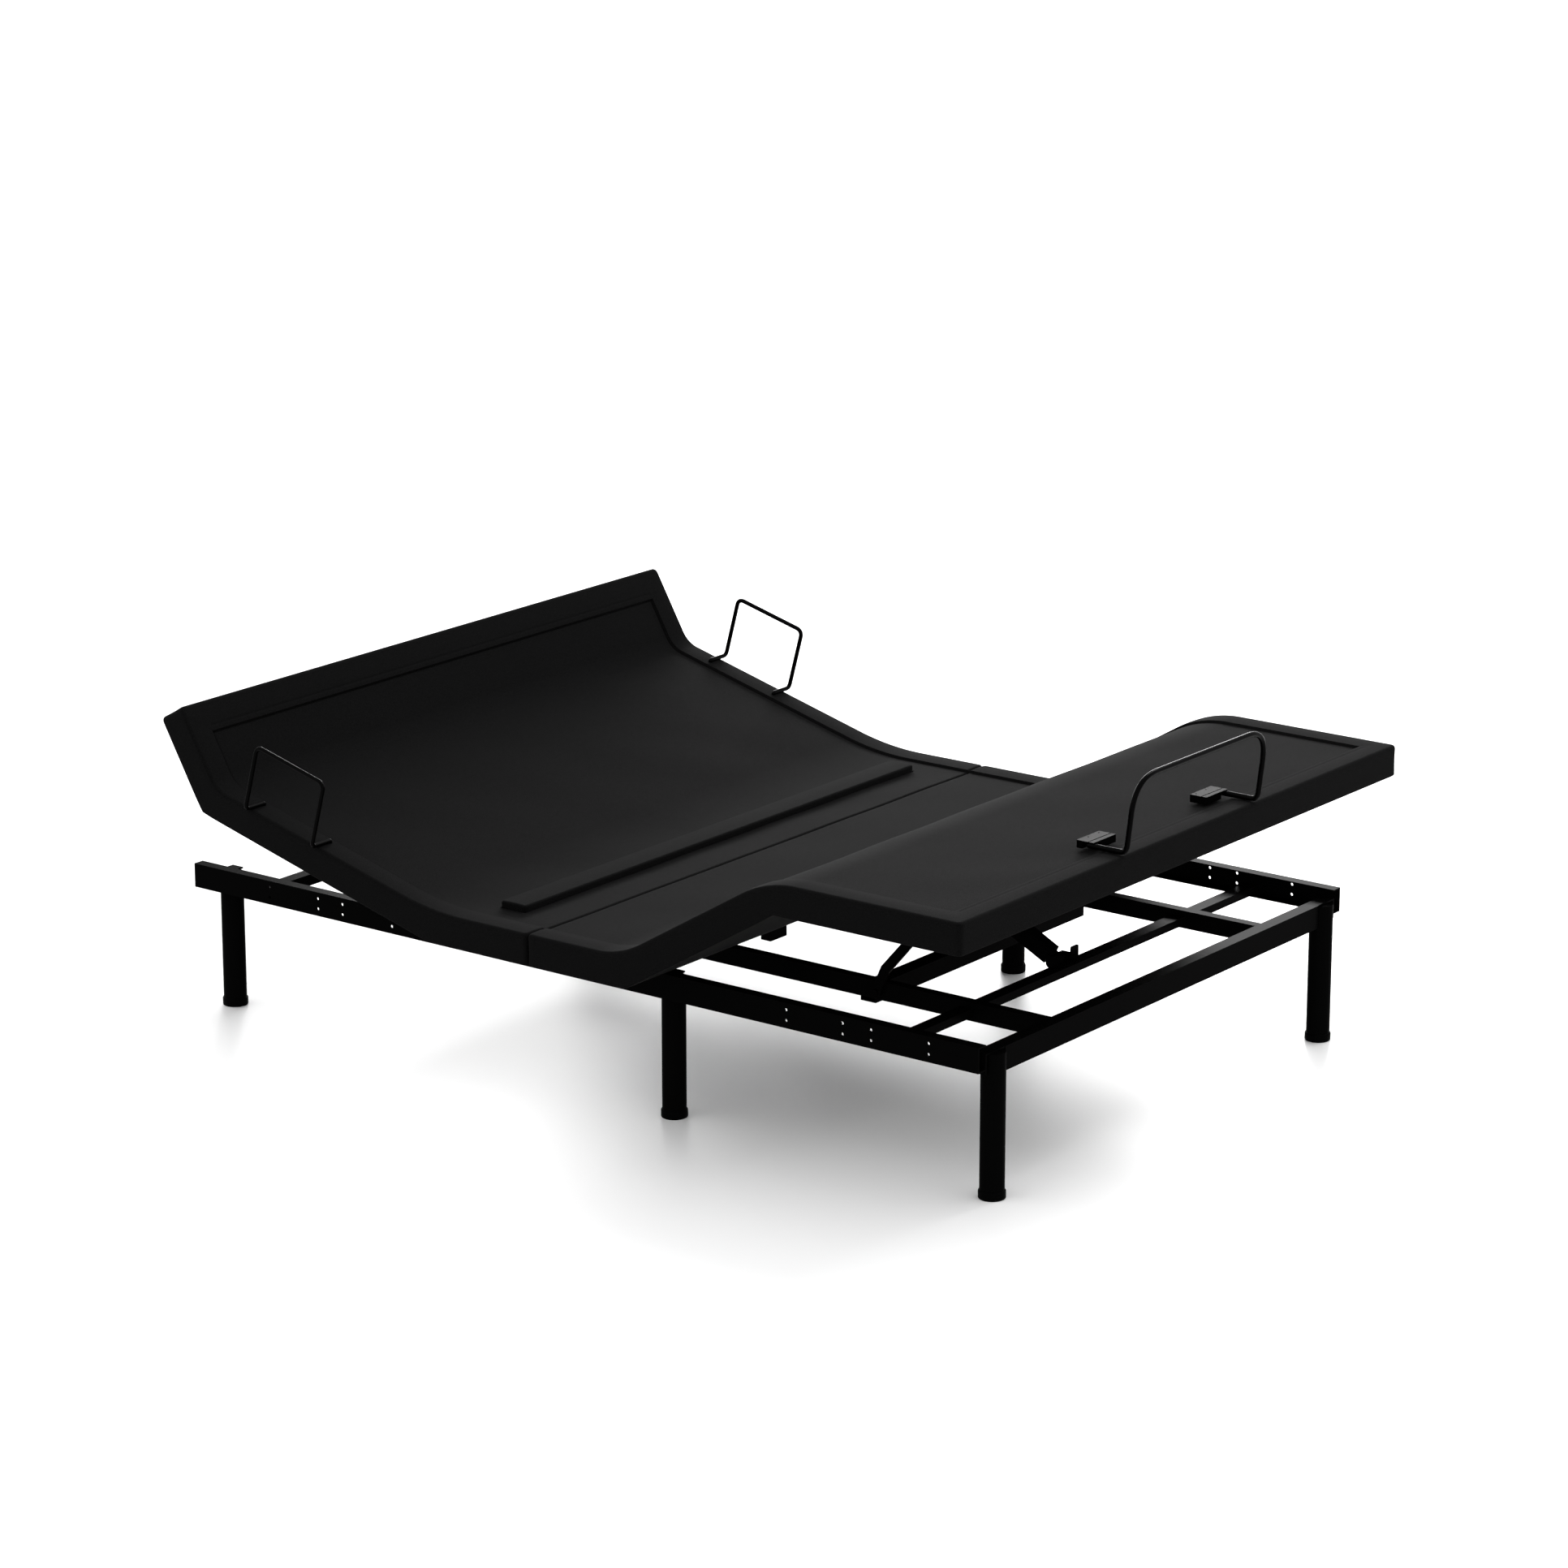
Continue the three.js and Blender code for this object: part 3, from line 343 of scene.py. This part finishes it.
def deck_top(s, y):
    """Raised border with a sewn line inside it, a flat panel, and the pocket for the lumbar bar."""
    inside = np.minimum(BORDER - np.abs(y), np.minimum(s - BORDER_HEAD, BORDER_FOOT - s))
    height = COVER_TOP - PANEL_DROP * smoothstep(inside / BORDER_STEP)
    height = height - GROOVE_DEPTH * np.exp(-((inside - GROOVE_PLACE) / GROOVE_WIDTH) ** 2)
    across = smoothstep((BORDER - np.abs(y)) / (6 * MM))
    for line in (BORDER_HEAD - END_LINE_PLACE, BORDER_FOOT + END_LINE_PLACE):
        height = height - END_LINE_DEPTH * across * np.exp(-((s - line) / END_LINE_WIDTH) ** 2)
    crown = np.clip(-inside / (48 * MM), 0, 1)
    height = height + 0.9 * MM * np.sin(math.pi * crown)
    wave = np.sin(s * 31 + 1.3 * np.sin(y * 9)) * np.cos(y * 17 + 0.7) + np.sin(s * 13 - y * 23)
    height = height + 0.28 * MM * wave * smoothstep(inside / (40 * MM))
    in_slot = (s > SLOT_X[0]) & (s < SLOT_X[1]) & (np.abs(y) < SLOT_HALF)
    return np.where(in_slot, -1.4 * MM, height)


def cover_place(s, z):
    """on_deck, with the underside following the boards at each hinge instead of its round bend."""
    depth = np.clip(z / COVER_BOTTOM, 0, 1)
    for hinge, bend, angle in (
        (TILT_S, TILT_BEND, TILT_ANGLE),
        (back_hinge_x, BACK_BEND, BACK_ANGLE),
        (thigh_hinge_x, THIGH_BEND, THIGH_ANGLE),
        (KNEE_S, KNEE_BEND, -THIGH_ANGLE),
    ):
        near = np.clip(1 - np.abs(s - hinge) / bend, 0, 1) ** 2
        z = z - bend * math.tan(angle / 4) * near * depth
    return on_deck(s, z)


def cover(name, s_range, ends, pads, slot=False):
    s_near = [(BORDER_HEAD, BORDER_OFFSETS), (BORDER_FOOT, BORDER_OFFSETS)]
    for hinge in (TILT_S, back_hinge_x, thigh_hinge_x, KNEE_S):
        s_near.append((hinge, np.arange(-92, 93, 4) * MM))
    s_lines = []
    y_lines = []
    if slot:
        s_lines = [e + d for e in SLOT_X for d in (-SLOT_WALL / 2, SLOT_WALL / 2)]
        y_lines = [side * SLOT_HALF + d for side in (-1, 1) for d in (-SLOT_WALL / 2, SLOT_WALL / 2)]
    y_near = [(-BORDER, BORDER_OFFSETS), (BORDER, BORDER_OFFSETS)]
    obj = slab(name, s_range, COVER_HALF, COVER_BOTTOM, ends, deck_top, cover_place,
               s_near, y_near, s_lines, y_lines)
    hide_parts(*pads)
    return obj


def covers():
    mid_back = back_hinge_x - BACK_LENGTH / 2
    mid_thigh = thigh_hinge_x + THIGH_LENGTH / 2
    head = cover("cover_head", (HEAD_END, mid_back), (FREE, SPLIT), ["tilt_pad"])
    back = cover("cover_back", (mid_back, seam_x - SEAM_GAP), (SPLIT, SEAM),
                 ["back_pad", "seat_pad_head"], slot=True)
    thigh = cover("cover_thigh", (seam_x + SEAM_GAP, mid_thigh), (SEAM, SPLIT),
                  ["seat_pad_foot", "thigh_pad"])
    foot = cover("cover_foot", (mid_thigh, FOOT_END + 1 * MM), (SPLIT, FREE), ["foot_pad"])
    for obj, a, b, hinge, bend in (
        (head, "head_tilt", "back", TILT_S, TILT_BEND),
        (back, "back", "root", back_hinge_x, BACK_BEND),
        (thigh, "root", "thigh", thigh_hinge_x, THIGH_BEND),
        (foot, "thigh", "foot", KNEE_S, KNEE_BEND),
    ):
        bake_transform(obj)


def lumbar_cover():
    low, high = LUMBAR_LOW, LUMBAR_HIGH
    half = high.y
    middle = (low.x + high.x) / 2

    def top(s, y):
        crown = 1.2 * MM * np.cos(np.clip((s - middle) / (high.x - low.x), -0.5, 0.5) * math.pi)
        return high.z - 1.2 * MM + crown + 0 * y

    obj = slab("lumbar_cover", (low.x, high.x), half, low.z, (BAR, BAR), top, lambda s, z: (s, z),
               side_radius=4 * MM, under_radius=2 * MM, step=8 * MM)
    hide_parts("lumbar_bar")
    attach(obj, "lumbar")


# ---- wires --------------------------------------------------------------------------------
def wire(name, corners, bends, radius, body, node, sides=14, bend_steps=8):
    """A round wire through corner points, with each inner corner rounded over its bend length."""
    corners = [Vector(c) for c in corners]
    path = [corners[0]]
    for i in range(1, len(corners) - 1):
        c = corners[i]
        entry = c + (corners[i - 1] - c).normalized() * bends[i - 1]
        leave = c + (corners[i + 1] - c).normalized() * bends[i - 1]
        for k in range(bend_steps + 1):
            t = k / bend_steps
            path.append(entry * (1 - t) ** 2 + c * 2 * t * (1 - t) + leave * t * t)
    path.append(corners[-1])
    path = [p for i, p in enumerate(path) if i == 0 or (p - path[i - 1]).length > 0.3 * MM]
    verts, faces = [], []
    side = Vector((0, 0, 1))
    for i, p in enumerate(path):
        along = (path[min(i + 1, len(path) - 1)] - path[max(i - 1, 0)]).normalized()
        if abs(side.dot(along)) > 0.95:
            side = Vector((1, 0, 0))
        side = (side - along * side.dot(along)).normalized()
        up = along.cross(side)
        for k in range(sides):
            a = 2 * math.pi * k / sides
            verts.append(p + (side * math.cos(a) + up * math.sin(a)) * radius)
    for i in range(len(path) - 1):
        for k in range(sides):
            m = (k + 1) % sides
            faces.append((i * sides + k, i * sides + m, (i + 1) * sides + m, (i + 1) * sides + k))
    faces.append(tuple(range(sides - 1, -1, -1)))
    faces.append(tuple((len(path) - 1) * sides + k for k in range(sides)))
    obj = new_object(name, verts, faces, MATERIALS["retainer_steel"])
    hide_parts(node)
    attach(obj, body)
    return obj


def deck_point(s, y, z):
    x, height = on_deck(np.array([s]), np.array([z]))
    return Vector((float(x[0]), y, float(height[0])))


PAD_TOP = 38.5 * MM


def side_retainers():
    low = PAD_TOP + 5.5 * MM
    high = PAD_TOP + 130 * MM
    head_s, foot_s = back_hinge_x - 440 * MM, back_hinge_x - 277 * MM
    outside, inside = 699 * MM, 650 * MM
    for name, side in (("near", -1), ("far", 1)):
        route = [(head_s, inside, PAD_TOP - 4 * MM), (head_s, inside, low), (head_s, outside, low),
                 (head_s, outside, high), (foot_s, outside, high), (foot_s, outside, low),
                 (foot_s, inside, low), (foot_s, inside, PAD_TOP - 4 * MM)]
        points = [deck_point(s, side * y, z) for s, y, z in route]
        bends = [v * MM for v in (4, 10, 14, 14, 10, 4)]
        wire(f"retainer_wire_{name}", points, bends, 4.2 * MM, "back", f"retainer_{name}")


def foot_retainer():
    base = KNEE_S + FOOT_LENGTH - 78 * MM
    edge = KNEE_S + FOOT_LENGTH + 3 * MM
    low = PAD_TOP + 7 * MM
    high = PAD_TOP + 138 * MM
    out = edge + 16 * MM
    y_end, y_leg = 150 * MM, 206 * MM
    route = [(base, -y_end, low), (base, -y_leg, low), (edge, -y_leg, low), (out, -y_leg, high),
             (out, y_leg, high), (edge, y_leg, low), (base, y_leg, low), (base, y_end, low)]
    points = [deck_point(*p) for p in route]
    bends = [v * MM for v in (12, 14, 62, 62, 14, 12)]
    wire("retainer_wire_foot", points, bends, 5 * MM, "foot", "retainer_foot", bend_steps=14)


# ---- legs ---------------------------------------------------------------------------------
def lathe(name, profile, centre, material, body, sides=48):
    """Turns a profile of (radius, height) pairs, from axis to axis, about a vertical line."""
    verts, faces = [], []
    rings = []
    for r, z in profile:
        if r == 0:
            rings.append([len(verts)])
            verts.append((centre[0], centre[1], z))
            continue
        rings.append(list(range(len(verts), len(verts) + sides)))
        for k in range(sides):
            a = 2 * math.pi * k / sides
            verts.append((centre[0] + r * math.cos(a), centre[1] + r * math.sin(a), z))
    for lower, upper in zip(rings[:-1], rings[1:]):
        for k in range(sides):
            m = (k + 1) % sides
            if len(lower) == 1:
                faces.append((lower[0], upper[m], upper[k]))
            elif len(upper) == 1:
                faces.append((lower[k], lower[m], upper[0]))
            else:
                faces.append((lower[k], lower[m], upper[m], upper[k]))
    obj = new_object(name, verts, faces, MATERIALS[material])
    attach(obj, body)
    return obj


def legs():
    tube_radius = 21.5 * MM
    cap_radius = 23.6 * MM
    for place in ("head", "middle", "foot"):
        for side in ("near", "far"):
            node = f"leg_{place}_{side}"
            low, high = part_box(node)
            centre = ((low.x + high.x) / 2, (low.y + high.y) / 2)
            top = high.z
            tube = lathe(f"leg_tube_{place}_{side}", [
                (0, 15 * MM), (tube_radius, 15 * MM), (tube_radius, top - 1.5 * MM),
                (tube_radius - 0.5 * MM, top - 0.5 * MM), (tube_radius - 1.5 * MM, top), (0, top),
            ], centre, "frame_steel", "root")
            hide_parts(node)
            lathe(f"leg_cap_{place}_{side}", [
                (0, 0), (cap_radius - 2.2 * MM, 0), (cap_radius - 0.6 * MM, 0.6 * MM),
                (cap_radius, 2.2 * MM), (cap_radius, 12.5 * MM),
                (cap_radius - 0.5 * MM, 14 * MM), (tube_radius + 0.3 * MM, 15 * MM),
                (tube_radius - 2 * MM, 14 * MM), (0, 14 * MM),
            ], centre, "black_plastic", "root")


# ---- CAD pieces that show -----------------------------------------------------------------
def dress_nodes():
    slots = {s["node"]: s["material_slot"] for s in frame["record"]["subparts"]}
    for name, obj in nodes.items():
        obj.data.materials.clear()
        obj.data.materials.append(MATERIALS[slots[name]])
        if obj.hide_render:
            continue
        bevel = obj.modifiers.new("edge", "BEVEL")
        bevel.width = 0.7 * MM
        bevel.segments = 2
        bevel.limit_method = "ANGLE"
        bevel.angle_limit = math.radians(40)
        bevel.harden_normals = False


# ---- floor, lights and camera -------------------------------------------------------------
def floor():
    bpy.ops.mesh.primitive_plane_add(size=60, location=(0, 0, 0))
    obj = bpy.context.object
    obj.name = "floor"
    obj.data.materials.append(principled("floor", (0.92, 0.92, 0.92), 0.4))


def area_light(name, place, target, size, power):
    data = bpy.data.lights.new(name, "AREA")
    data.shape = "RECTANGLE"
    data.size, data.size_y = size
    data.energy = power
    obj = bpy.data.objects.new(name, data)
    bpy.context.collection.objects.link(obj)
    obj.location = place
    obj.rotation_euler = (Vector(target) - Vector(place)).to_track_quat("-Z", "Y").to_euler()


def lights():
    world = bpy.data.worlds.new("studio")
    world.use_nodes = True
    background = world.node_tree.nodes["Background"]
    background.inputs["Color"].default_value = (1, 1, 1, 1)
    background.inputs["Strength"].default_value = 1.35
    bpy.context.scene.world = world
    bpy.context.scene.view_settings.view_transform = "Standard"
    area_light("key", (0.7, 1.2, 2.4), (0.75, 0.1, 0.4), (1.2, 1.2), 38)
    area_light("behind", (-3.0, 4.5, 1.9), (0.1, 0.0, 0.35), (3.2, 1.0), 150)


def camera():
    azimuth = math.radians(37.127)
    elevation = math.radians(15.685)
    data = bpy.data.cameras.new("camera")
    data.sensor_width = 36
    data.lens = 116.15
    data.clip_end = 200
    obj = bpy.data.objects.new("camera", data)
    bpy.context.collection.objects.link(obj)
    obj.location = (5.33665, -7.0279, 2.933)
    obj.rotation_euler = (math.pi / 2 - elevation, 0, azimuth)
    bpy.context.scene.camera = obj


camera()
covers()
lumbar_cover()
side_retainers()
foot_retainer()
legs()
dress_nodes()
floor()
lights()
